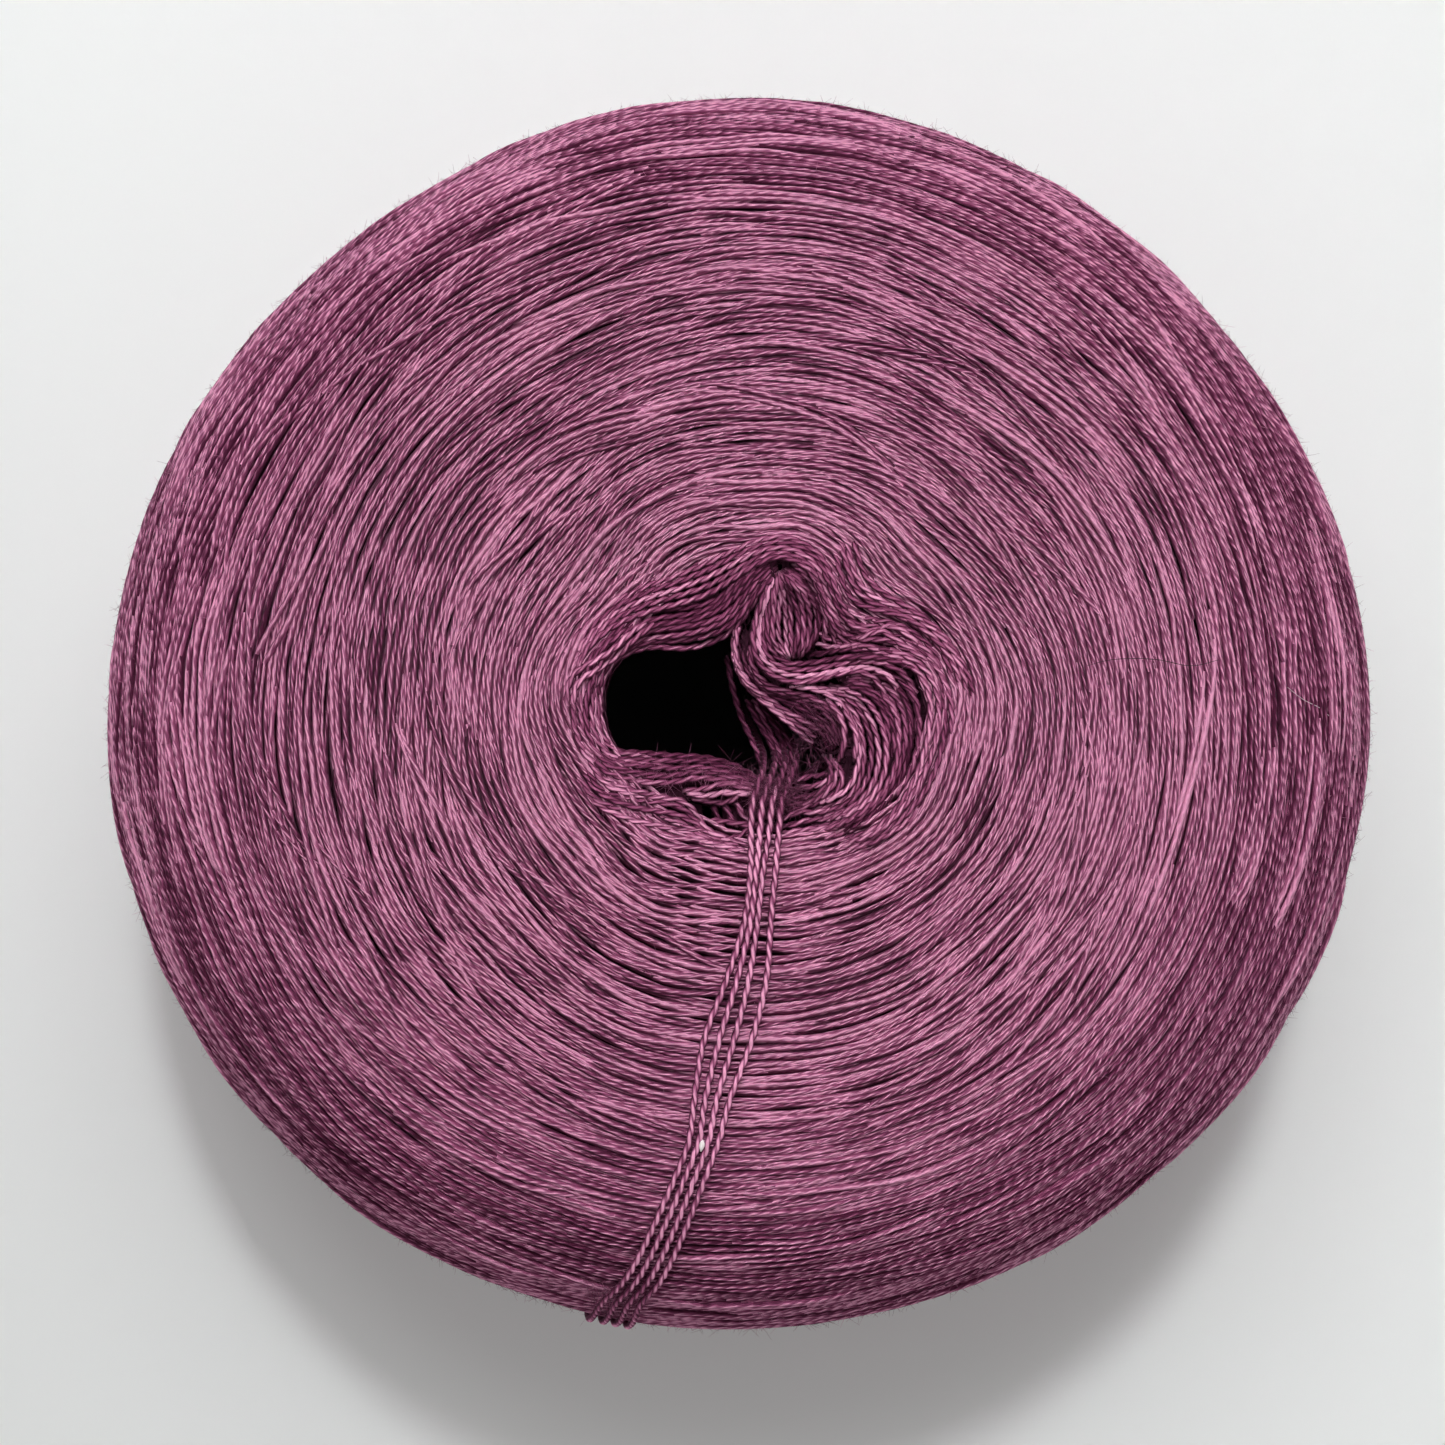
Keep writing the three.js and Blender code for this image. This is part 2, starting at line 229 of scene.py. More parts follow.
# Where the even winding begins around the collapsed centre: angle about the axis, distance from it
COLLAPSED_OUTLINE = (
    (-134.8, 10.2), (-107.9, 9.9), (-64.3, 11.7), (-28.2, 15.2), (5.9, 16.3), (42.4, 12.4), (73.0, 14.7),
    (80.8, 13.9), (108.8, 12.3), (140.0, 11.0), (175.6, 12.2),
)
COLLAPSED_RADIUS = 12.6
COLLAPSE_REACH = 34.0
WINDING_CENTRE = (1.4, -0.7)

# The turns of the collapsed centre: name, threads, height above the roll, tone, and the routes of the first
# and the last thread. A route's points are x and y in pixels of the 1445-pixel picture, read off it.
# Their tones are in part the threads' own, in part painted shade for bundles that lie deep or near the hole
# and painted light for the brightest.
BUNDLES = (
    ("lip_edge", 7, 0.1, -0.45,
     (600, 712, 601, 690, 609, 668, 625, 655, 650, 647, 685, 647, 712, 641, 733, 630, 748, 612, 760, 594,
      777, 574),
     (578, 694, 586, 666, 602, 644, 625, 625, 655, 612, 690, 608, 715, 600, 735, 584, 750, 572, 763, 566,
      776, 563)),
    ("lip_crossing", 2, 0.6, 0.3,
     (568, 712, 568, 690, 574, 676, 586, 667, 602, 658, 616, 648, 630, 634, 640, 626, 652, 618),
     (574, 716, 574, 694, 580, 681, 592, 673, 607, 664, 621, 654, 635, 640, 647, 630, 660, 621)),
    ("arch", 5, 0.35, 0.0,
     (572, 696, 578, 668, 594, 643, 617, 625, 647, 612, 682, 602, 710, 592, 735, 577, 757, 564, 778, 558,
      795, 562, 809, 572, 818, 591, 827, 613, 838, 632, 851, 648, 870, 658),
     (560, 680, 568, 650, 588, 625, 612, 605, 645, 588, 680, 575, 708, 563, 735, 550, 757, 541, 778, 537,
      803, 543, 822, 558, 833, 580, 840, 600, 850, 616, 868, 630, 892, 640)),
    ("tongue", 8, 0.35, 0.05,
     (779, 573, 776, 592, 773, 613, 773, 633, 778, 649, 786, 660),
     (786, 570, 799, 582, 811, 596, 817, 612, 816, 628, 810, 644, 801, 657)),
    ("cradle", 4, 0.25, -0.05,
     (778, 576, 773, 596, 768, 618, 767, 638, 773, 654, 786, 663, 803, 664, 822, 661, 842, 657, 864, 656,
      890, 660, 914, 670, 930, 686),
     (772, 580, 763, 600, 756, 620, 753, 640, 756, 657, 766, 671, 782, 680, 800, 683, 818, 680, 838, 674,
      857, 671, 873, 676, 884, 690, 888, 710)),
    ("tongue_back", 3, 0.05, -0.35,
     (789, 568, 803, 580, 813, 596, 819, 614, 818, 632, 812, 650),
     (795, 562, 811, 574, 822, 594, 830, 614, 834, 634, 836, 648)),
    ("bow_fill", 6, -0.15, -0.35,
     (846, 668, 872, 668, 896, 676, 910, 690, 917, 712, 914, 740),
     (842, 684, 860, 688, 876, 700, 885, 718, 888, 742, 884, 764)),
    ("arch_back", 4, -0.1, -0.45,
     (818, 616, 830, 630, 848, 640, 872, 646, 900, 654),
     (808, 654, 828, 652, 850, 650, 872, 652, 895, 660)),
    ("dent_shelf", 4, 0.1, -0.1,
     (846, 600, 856, 614, 872, 620, 892, 624, 914, 634, 934, 652, 946, 680),
     (832, 612, 842, 632, 860, 640, 884, 640, 906, 646, 926, 664, 936, 690, 936, 720)),
    ("dent", 4, 0.4, 0.2,
     (832, 540, 839, 566, 845, 588, 856, 602, 874, 610, 896, 616, 920, 630, 942, 652, 956, 690),
     (852, 530, 858, 560, 867, 580, 883, 594, 904, 606, 928, 622, 950, 644, 968, 675, 977, 712)),
    ("shelf_light", 2, 0.5, 0.4,
     (842, 618, 858, 628, 874, 630, 888, 627, 906, 634, 922, 648),
     (850, 640, 866, 636, 880, 632, 896, 640, 914, 652, 930, 668)),
    ("below_crossing", 5, -0.4, -0.9,
     (752, 640, 752, 665, 764, 682, 785, 690, 808, 695, 826, 706, 838, 722, 842, 742),
     (741, 640, 742, 662, 750, 680, 766, 692, 786, 702, 806, 716, 822, 730, 832, 752)),
    ("crossing_pair", 3, 0.7, 0.4,
     (739, 626, 736, 642, 737, 660, 744, 677, 756, 690, 772, 700, 790, 712, 806, 722, 820, 732),
     (735, 630, 733, 648, 736, 666, 745, 683, 757, 695, 772, 707, 787, 720, 800, 732, 812, 744)),
    ("inner_bow", 5, 0.25, 0.1,
     (790, 686, 812, 688, 830, 694, 844, 706, 853, 722, 858, 744, 857, 768, 848, 788, 830, 800, 805, 806),
     (830, 684, 850, 690, 866, 700, 877, 716, 884, 738, 885, 762, 879, 784, 866, 802, 845, 816, 812, 824)),
    ("bow_lights", 2, 0.45, 0.45,
     (828, 700, 837, 711, 843, 726, 844, 744, 841, 760),
     (842, 704, 851, 720, 856, 740, 856, 760)),
    ("middle_bow", 4, 0.15, -0.1,
     (872, 686, 886, 698, 895, 714, 898, 737, 895, 762, 885, 786, 868, 806, 842, 822, 808, 830),
     (893, 672, 907, 688, 916, 708, 918, 735, 912, 764, 899, 790, 879, 812, 850, 830, 810, 841)),
    ("outer_bow", 4, 0.25, 0.1,
     (868, 654, 892, 657, 912, 667, 925, 684, 930, 708, 927, 740, 916, 774, 898, 804, 872, 828, 830, 842),
     (880, 634, 904, 642, 926, 656, 942, 676, 951, 704, 949, 742, 936, 780, 914, 812, 880, 838, 825, 856)),
    ("left_lip", 5, 0.2, -0.25,
     (612, 662, 601, 684, 598, 712, 603, 736, 618, 752, 645, 756, 675, 757),
     (590, 665, 578, 690, 575, 722, 584, 752, 603, 776, 631, 789, 665, 795)),
    ("lower_lip", 5, 0.2, -0.75,
     (603, 738, 616, 751, 640, 753, 675, 755, 705, 757, 732, 765, 752, 776, 768, 790),
     (590, 748, 604, 770, 630, 780, 665, 782, 700, 777, 725, 781, 748, 790, 768, 802)),
    ("lower_turns", 5, 0.15, -0.2,
     (586, 756, 606, 784, 636, 794, 665, 797, 684, 801, 696, 813, 706, 828, 722, 838, 746, 842),
     (568, 765, 590, 800, 628, 818, 664, 826, 690, 834, 712, 844, 735, 850, 760, 854)),
    ("loose_turns", 3, 0.35, 0.0,
     (684, 790, 706, 788, 728, 784, 750, 790, 766, 800),
     (690, 798, 708, 802, 726, 802, 738, 794, 748, 786)),
    ("small_strands", 3, -0.1, -0.5,
     (712, 804, 718, 818, 724, 830),
     (734, 802, 744, 816, 752, 828)),
    ("bridge", 2, 0.2, -0.1,
     (704, 822, 726, 822, 748, 824, 764, 826),
     (712, 834, 730, 838, 748, 831, 762, 822)),
    ("innermost_bow", 3, 0.15, 0.05,
     (826, 756, 832, 766, 831, 778, 823, 789, 808, 797, 788, 800),
     (836, 760, 842, 774, 838, 788, 826, 800, 806, 808, 786, 810)),
    ("short_strands", 2, 0.2, 0.2,
     (796, 781, 812, 777, 828, 774),
     (798, 789, 814, 786, 830, 780)),
    ("right_root", 3, 0.3, 0.1,
     (782, 820, 796, 814, 816, 812, 840, 806),
     (780, 834, 802, 831, 832, 826, 860, 812)),
    ("deep_bundle", 4, -3.5, -1.0,
     (748, 700, 760, 722, 772, 745, 783, 770, 790, 786),
     (766, 702, 780, 724, 790, 746, 797, 768, 800, 784)),
    ("deep_thread", 1, -4.5, -0.9,
     (727, 655, 731, 682, 741, 712, 753, 742, 764, 772),
     (727, 655, 731, 682, 741, 712, 753, 742, 764, 772)),
)


def smooth(share):
    """A soft step from 0 to 1."""
    share = np.clip(share, 0, 1)
    return share * share * (3 - 2 * share)


def unit(vectors):
    return vectors / np.maximum(np.linalg.norm(vectors, axis=1, keepdims=True), 1e-12)


def run_length(line):
    """The distance along a line at each of its points."""
    return np.concatenate([[0], np.cumsum(np.linalg.norm(np.diff(line, axis=0), axis=1))])


def evenly(line, step):
    """The same line with its points one step apart."""
    along = run_length(line)
    places = np.linspace(0, along[-1], max(4, int(round(along[-1] / step)) + 1))
    return np.stack([np.interp(places, along, line[:, k]) for k in range(line.shape[1])], axis=1)


def spline(points, step):
    """Evenly spaced points on a smooth curve through the given ones."""
    knots = np.asarray(points, float)
    knots = np.vstack([2 * knots[0] - knots[1], knots, 2 * knots[-1] - knots[-2]])
    gaps = np.sqrt(np.linalg.norm(np.diff(knots, axis=0), axis=1))
    t = np.linspace(0, 1, SPLINE_STEPS, endpoint=False)[:, None]
    stretches = []
    for i in range(1, len(knots) - 2):
        a, b, c, d = knots[i - 1 : i + 3]
        before, here, after = gaps[i - 1 : i + 2]
        leave = ((b - a) / before - (c - a) / (before + here) + (c - b) / here) * here
        arrive = ((c - b) / here - (d - b) / (here + after) + (d - c) / after) * here
        curve = b + leave * t
        curve = curve + (3 * (c - b) - 2 * leave - arrive) * t**2
        curve = curve + (2 * (b - c) + leave + arrive) * t**3
        stretches.append(curve)
    return evenly(np.vstack([*stretches, knots[-2:-1]]), step)


def thread_axes(line, out):
    """The directions beside a thread and out of it, and the distance along it, at each of its points."""
    tangent = unit(np.gradient(line, axis=0))
    side = unit(np.cross(tangent, out))
    return side, np.cross(side, tangent), run_length(line)


def wave(rng, angle):
    """A wave with a random start."""
    return np.sin(angle + rng.uniform(0, 7))


def sample(grid, row, column, wrap=False):
    """Values between the points of a grid. With wrap, its last column is followed by its first."""
    row = np.clip(row, 0, grid.shape[0] - 1.001)
    if not wrap:
        column = np.clip(column, 0, grid.shape[1] - 1.001)
    i, j = np.floor(row).astype(int), np.floor(column).astype(int)
    u, v = row - i, column - j
    left, right = j % grid.shape[1], (j + 1) % grid.shape[1]
    near = grid[i, left] * (1 - v) + grid[i, right] * v
    far = grid[i + 1, left] * (1 - v) + grid[i + 1, right] * v
    return near * (1 - u) + far * u


class Roll:
    """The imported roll's surface, read from its solid by rays."""

    LEVEL_STEP = 0.75
    ANGLES = 240
    GRID_STEP = 0.4
    GRID_HALF = 30.0
    OUTLINE_WAVES = 5
    MOUTH_LEVEL = 56.5
    MOUTH_SKIN = 59.5
    FILL_PASSES = 150
    PROBE_REACH = 8.0
    MOST_SWELL = 1.5

    def __init__(self, solid):
        mesh = solid.data
        self.tree = BVHTree.FromPolygons([v.co for v in mesh.vertices], [p.vertices for p in mesh.polygons])
        self.top = self.read_top()
        self.read_profile()
        self.swell = self.read_swell()

    def hit(self, start, direction):
        """Where a ray meets the solid, or None."""
        place = self.tree.ray_cast(Vector(start) * MM, Vector(direction))[0]
        return None if place is None else np.array(place) / MM

    def top_at(self, x, y):
        """Where a ray from straight above meets the solid, or None."""
        return self.hit((x, y, 2 * HEIGHT), (0, 0, -1))

    def read_top(self):
        """Heights of the top on a square grid, with the mouth of the hole covered by a soft skin."""
        ticks = np.arange(-self.GRID_HALF, self.GRID_HALF + self.GRID_STEP / 2, self.GRID_STEP)
        top = np.zeros((len(ticks), len(ticks)))
        for j, y in enumerate(ticks):
            for i, x in enumerate(ticks):
                place = self.top_at(x, y)
                top[j, i] = 0 if place is None else place[2]
        hollow = top < self.MOUTH_LEVEL
        top[hollow] = self.MOUTH_SKIN
        for _ in range(self.FILL_PASSES):
            around = np.roll(top, 1, 0) + np.roll(top, -1, 0) + np.roll(top, 1, 1) + np.roll(top, -1, 1)
            top[hollow] = around[hollow] / 4
        return top

    def top_height(self, x, y):
        return sample(self.top, (y + self.GRID_HALF) / self.GRID_STEP, (x + self.GRID_HALF) / self.GRID_STEP)

    def read_profile(self):
        """Radius, height and outward direction along the mean outline, one value a level step."""
        turn = np.radians(np.linspace(0, 90, 181))

        def corner(inner, flat, powers):
            across = inner + (MEAN_RADIUS - inner) * np.sin(turn) ** (2 / powers[0])
            up = WIDEST_LEVEL + (flat - WIDEST_LEVEL) * np.cos(turn) ** (2 / powers[1])
            return np.stack([across, up], 1)

        shoulder = corner(CROWN_RADIUS, HEIGHT, SHOULDER_POWERS)
        foot = corner(FOOT_RADIUS, 0, FOOT_POWERS)[::-1]
        line = np.vstack([[(0, HEIGHT)], shoulder, foot[1:], [(OUTLINE_END_RADIUS, 0)]])
        self.profile = evenly(line, self.LEVEL_STEP)
        tangent = unit(np.gradient(self.profile, axis=0))
        self.length = self.LEVEL_STEP * (len(self.profile) - 1)
        self.outward = np.stack([-tangent[:, 1], tangent[:, 0]], 1)

    def read_swell(self):
        """How far the solid stands out of the mean outline, by level and angle."""
        angles = np.linspace(0, 2 * np.pi, self.ANGLES, endpoint=False)
        swell = np.zeros((len(self.profile), self.ANGLES))
        for i, (radius, height) in enumerate(self.profile):
            out_radius, out_height = self.outward[i]
            for j, angle in enumerate(angles):
                across = np.array([np.cos(angle), np.sin(angle)])
                if radius < CROWN_RADIUS and height > WIDEST_LEVEL:
                    swell[i, j] = self.top_height(*(across * radius)) - height
                    continue
                away = np.array([*(across * out_radius), out_height])
                start = np.array([*(across * radius), height]) + away * self.PROBE_REACH
                place = self.hit(start, -away)
                if place is not None:
                    found = self.PROBE_REACH - np.linalg.norm(place - start)
                    swell[i, j] = np.clip(found, -self.MOST_SWELL, self.MOST_SWELL)
        waves = np.fft.rfft(swell, axis=1)
        waves[:, self.OUTLINE_WAVES + 1 :] = 0
        low = np.fft.irfft(waves, self.ANGLES, axis=1)
        levels = np.arange(len(self.profile)) * self.LEVEL_STEP
        mix = smooth((levels - CROWN_RADIUS + 4) / 6)[:, None]
        side = smooth((levels - 46) / 14)[:, None]
        mean, shift, way = OUTLINE_TRIM
        trim = mean + shift * np.cos(angles - np.radians(way))
        radius, height = self.profile.T
        foot = np.where(height < WIDEST_LEVEL, smooth((radius - FOOT_RADIUS) / 8), 1.0)
        return (swell * (1 - mix) + low * mix - side * trim) * foot[:, None]

    def place(self, level, angle, lift):
        """Points at a height above the roll, and the directions that point straight out of it there."""
        row = np.clip(level / self.LEVEL_STEP, 0, len(self.profile) - 1.001)
        column = np.mod(angle, 2 * np.pi) / (2 * np.pi) * self.ANGLES
        away = lift + sample(self.swell, row, column, wrap=True)
        rows = np.arange(len(self.profile))
        radius, height = (np.interp(row, rows, self.profile[:, k]) for k in range(2))
        out_radius, out_height = (np.interp(row, rows, self.outward[:, k]) for k in range(2))
        cos, sin = np.cos(angle), np.sin(angle)
        radius = radius + away * out_radius
        points = np.stack([radius * cos, radius * sin, height + away * out_height], 1)
        return points, np.stack([out_radius * cos, out_radius * sin, out_height], 1)

    def radius_at(self, level):
        """Distance of a level from the axis, and near the middle at least that of a small turn."""
        found = np.interp(level / self.LEVEL_STEP, np.arange(len(self.profile)), self.profile[:, 0])
        return max(float(found), SMALLEST_TURN)


class Field:
    """A soft random value for each level and angle, made of a few waves."""

    def __init__(self, rng, size, turns, levels, count=9):
        self.turns = rng.integers(turns[0], turns[1] + 1, count)
        self.levels = rng.uniform(*levels, count) * rng.choice([-1, 1], count)
        self.starts = rng.uniform(0, 2 * np.pi, count)
        self.size = size / np.sqrt(count / 2)

    def at(self, level, angle):
        level = np.broadcast_to(level, np.shape(angle))
        waves = np.cos(angle[:, None] * self.turns + level[:, None] * self.levels + self.starts)
        return self.size * waves.sum(axis=1)


class Threads:
    """Threads that are gathered first and then written as one mesh of closed tubes."""

    def __init__(self, sides, ply_depth=0.0):
        self.sides = sides
        self.ply_depth = ply_depth
        self.points, self.rings, self.along, self.tones, self.seeds = [], [], [], [], []

    def add(self, line, out, tone, seed, radius=THREAD_RADIUS):
        """One thread. out and tone are for the whole of it or have a row for each point of the line."""
        side, up, along = thread_axes(line, out)
        along += seed * TWIST_PITCH
        turn = np.arange(self.sides) * (2 * np.pi / self.sides)
        lobe = np.abs(np.cos(turn - 2 * np.pi * along[:, None] / TWIST_PITCH))
        reach = np.broadcast_to(radius, len(line))[:, None] * (1 - self.ply_depth * (1 - lobe))
        ring = line[:, None, :]
        ring = ring + reach[:, :, None] * (np.cos(turn)[:, None] * side[:, None, :])
        ring = ring + reach[:, :, None] * (np.sin(turn)[:, None] * up[:, None, :])
        ring[:, :, 2] = np.maximum(ring[:, :, 2], FLOOR_GAP)
        self.points.append(ring.reshape(-1, 3))
        self.rings.append(len(line))
        self.along.append(along)
        self.tones.append(np.broadcast_to(tone, len(line)))
        self.seeds.append(np.full(len(line), seed))

    def add_plied(self, line, out, tone, seed, full, shade):
        """One thread as its two plies, wound around each other."""
        side, up, along = thread_axes(line, out)
        for half in (0, 1):
            turn = (2 * np.pi * (along / TWIST_PITCH + seed) + np.pi * half)[:, None]
            ply = line + PLY_OFFSET * (np.cos(turn) * side + np.sin(turn) * up)
            lit = tone + shade * np.sin(turn[:, 0])
            self.add(ply, out, lit, seed + PLY_SEED_STEP * half, PLY_RADIUS * full)

    def build(self, name, material):
        """Writes the mesh, with its thread coordinates, its tones and a baking layout of one cell a step."""
        sides = self.sides
        side = np.arange(sides)
        after = (side + 1) % sides
        rings = np.array(self.rings)
        firsts = np.cumsum(rings) - rings
        lasts = firsts + rings - 1
        step_ring = np.concatenate([f + np.arange(n - 1) for f, n in zip(firsts, rings)])
        here = step_ring[:, None] * sides
        there = here + sides
        quads = np.stack([here + side, there + side, there + after, here + after], 2).reshape(-1, 4)
        caps = np.vstack([firsts[:, None] * sides + side, lasts[:, None] * sides + side[::-1]])

        mesh = bpy.data.meshes.new(name)
        co = np.vstack(self.points) * MM
        mesh.vertices.add(len(co))
        mesh.vertices.foreach_set("co", co.ravel().astype(np.float32))
        loops = np.concatenate([quads.ravel(), caps.ravel()])
        mesh.loops.add(len(loops))
        mesh.loops.foreach_set("vertex_index", loops.astype(np.int32))
        starts = np.concatenate([np.arange(len(quads)) * 4, len(quads) * 4 + np.arange(len(caps)) * sides])
        mesh.polygons.add(len(starts))
        mesh.polygons.foreach_set("loop_start", starts.astype(np.int32))
        mesh.update(calc_edges=True)
        mesh.shade_smooth()

        def add_layer(label, u, v, cap_u, cap_v):
            """Coordinates: u for each step's corners, v for each side's too, and both for the caps."""
            u = np.stack(u, 1)[:, None, :] * np.ones((1, sides, 1))
            v = v * np.ones((len(step_ring), 1, 1))
            pairs = np.stack([np.concatenate([u.ravel(), cap_u]), np.concatenate([v.ravel(), cap_v])], 1)
            mesh.uv_layers.new(name=label).data.foreach_set("uv", pairs.ravel().astype(np.float32))

        along = np.concatenate(self.along)
        low, high = along[step_ring], along[step_ring + 1]
        around = (np.stack([side, side, side + 1, side + 1], 1) / sides)[None]
        cap_along = np.repeat(np.concatenate([along[firsts], along[lasts]]), sides)
        cap_around = np.concatenate([np.tile(way / sides, len(rings)) for way in (side, side[::-1])])
        add_layer("Thread", [low, high, high, low], around, cap_along, cap_around)

        cell = np.arange(len(step_ring))
        columns = int(np.ceil(np.sqrt(len(cell) / BAKE_CELL_SHAPE)))
        rows = int(np.ceil(len(cell) / columns))
        left, right = cell % columns / columns, (cell % columns + 1) / columns
        first_cell = np.cumsum(rings - 1) - (rings - 1)
        cap_cell = np.repeat(np.concatenate([first_cell, first_cell + rings - 2]), sides)
        cap_turn = np.tile(side / sides, 2 * len(rings)) * 2 * np.pi
        add_layer(
            "OFBake",
            [left, right, right, left],
            ((cell // columns)[:, None, None] + 0.04 + 0.86 * around) / rows,
            (cap_cell % columns + 0.5 + 0.3 * np.cos(cap_turn)) / columns,
            (cap_cell // columns + 0.95 + 0.02 * np.sin(cap_turn)) / rows,
        )
        for label, values in (("tone", self.tones), ("seed", self.seeds)):
            attribute = mesh.attributes.new(label, "FLOAT", "POINT")
            attribute.data.foreach_set("value", np.repeat(np.concatenate(values), sides).astype(np.float32))
        mesh.materials.append(material)
        return add_object(name, mesh)


def add_object(name, data):
    made = bpy.data.objects.new(name, data)
    bpy.context.scene.collection.objects.link(made)
    return made


def fill(tree, made, inputs):
    """Sets a node's inputs, each to a value or to another node's output."""
    for key, value in inputs.items():
        if isinstance(value, bpy.types.NodeSocket):
            tree.links.new(value, made.inputs[key])
        else:
            made.inputs[key].default_value = value
    return made


def node(tree, kind, inputs=None, **settings):
    made = tree.nodes.new(kind)
    for key, value in settings.items():
        setattr(made, key, value)
    return fill(tree, made, inputs or {})


def maths(tree, operation, *inputs):
    return node(tree, "ShaderNodeMath", dict(enumerate(inputs)), operation=operation).outputs[0]


def noise(tree, place, detail=2.0):
    """Noise at a place, which is a node's output or three values."""
    if not isinstance(place, bpy.types.NodeSocket):
        place = node(tree, "ShaderNodeCombineXYZ", dict(enumerate(place))).outputs[0]
    return node(tree, "ShaderNodeTexNoise", {"Vector": place, "Scale": 1.0, "Detail": detail}).outputs[0]


def bump(tree, height, strength, distance):
    inputs = {"Height": height, "Strength": strength, "Distance": distance * MM}
    return node(tree, "ShaderNodeBump", inputs).outputs[0]


def colour_ramp(tree, factor, stops):
    ramp = node(tree, "ShaderNodeValToRGB", {0: factor})
    elements = ramp.color_ramp.elements
    while len(elements) < len(stops):
        elements.new(0.5)
    for element, (position, colour) in zip(elements, stops):
        element.position = position
        element.color = (*colour, 1)
    return ramp.outputs[0]


def new_material(name, inputs):
    """A material, its node tree and its shader, which has the given inputs."""
    material = bpy.data.materials.new(name)
    material.use_nodes = True
    tree = material.node_tree
    return material, tree, fill(tree, tree.nodes["Principled BSDF"], inputs)


def thread_material(name, base, lobes, relief_strength):
    """Yarn spun from lighter and darker fibres, with painted light and shade on each thread and its plies.
    lobes says how strongly its two plies are drawn.
    """
    material, tree, shader = new_material(name, YARN_SURFACE)
    do = partial(maths, tree)
    times, blend = partial(do, "MULTIPLY"), partial(do, "MULTIPLY_ADD")
    coords = node(tree, "ShaderNodeUVMap", uv_map="Thread").outputs[0]
    split = node(tree, "ShaderNodeSeparateXYZ", {0: coords})
    along, around = split.outputs[0], split.outputs[1]
    # tone holds each thread's own lighter or darker colour together with the painted light and shade given
    # where the threads are laid.
    tone = node(tree, "ShaderNodeAttribute", attribute_name="tone").outputs["Fac"]
    seed = node(tree, "ShaderNodeAttribute", attribute_name="seed").outputs["Fac"]
    shift = times(seed, SEED_SHIFT)

    slack = noise(tree, (times(along, SLACK_RATE), 0.0, shift))
    turn = blend(slack, TWIST_SLACK, do("DIVIDE", along, TWIST_PITCH))
    phase = times(turn, 2 * np.pi)
    circle = times(around, 2 * np.pi)
    sideways = do("COSINE", circle)
    crest = do("POWER", do("MAXIMUM", do("SINE", circle), 0.0), 2.0)
    ply_place = times(do("COSINE", phase), 0.45)
    ply_height = times(do("SINE", phase), 0.4)
    plies = []
    for way in (1.0, -1.0):
        away = times(blend(ply_place, -way, sideways), 1.9)
        ridge = do("MAXIMUM", do("SUBTRACT", 1.0, times(away, away)), 0.0)
        plies.append(times(ridge, blend(ply_height, way, 0.6)))
    lobe = do("POWER", do("MAXIMUM", *plies), 1.4)

    heather = noise(tree, (times(along, HEATHER_RATE), shift, 0.0), 3.0)
    twisted = do("SUBTRACT", times(around, 9.0), times(turn, 5.0))
    fibres = noise(tree, (twisted, do("ADD", times(along, 0.7), shift), 0.0), 3.0)

    factor = blend(tone, TONE_WEIGHT, base)
    # crest paints the top of each thread lighter and its flanks darker; lobe paints highlights on the ridges
    # of the plies and shade between them. Both are painted light and shade.
    for value, middle, weight in (
        (heather, 0.5, HEATHER_WEIGHT),
        (fibres, 0.5, FIBRE_WEIGHT),
        (crest, 0.6, 0.75 - 0.6 * lobes),
        (lobe, 0.36, 0.85 * lobes),
    ):
        factor = blend(do("SUBTRACT", value, middle), weight, factor)
    relief = blend(fibres, 0.35, times(lobe, 1.1 * lobes))
    normal = bump(tree, relief, relief_strength, 0.16)
    fill(tree, shader, {"Base Color": colour_ramp(tree, factor, YARN_COLOURS), "Normal": normal})
    return material


def core_material(name):
    """The turns below the top ones: fine rings of thread, darkened as painted shade."""
    material, tree, shader = new_material(name, {"Roughness": 0.95, "Specular IOR Level": 0.1})
    place = node(tree, "ShaderNodeTexCoord").outputs["Object"]
    stretched = node(tree, "ShaderNodeMapping", {"Vector": place, "Scale": CORE_GRAIN})
    grain = noise(tree, stretched.outputs[0], 4.0)
    normal = bump(tree, grain, 0.8, 0.3)
    fill(tree, shader, {"Base Color": colour_ramp(tree, grain, CORE_COLOURS), "Normal": normal})
    return material


def make_camera():
    camera = add_object("camera", bpy.data.cameras.new("camera"))
    camera.data.sensor_width = SENSOR_WIDTH
    camera.data.lens = FOCAL_PIXELS / PICTURE_PIXELS * SENSOR_WIDTH
    camera.data.clip_start = 0.01
    camera.location = Vector(CAMERA_PLACE) * MM
    bpy.context.scene.camera = camera


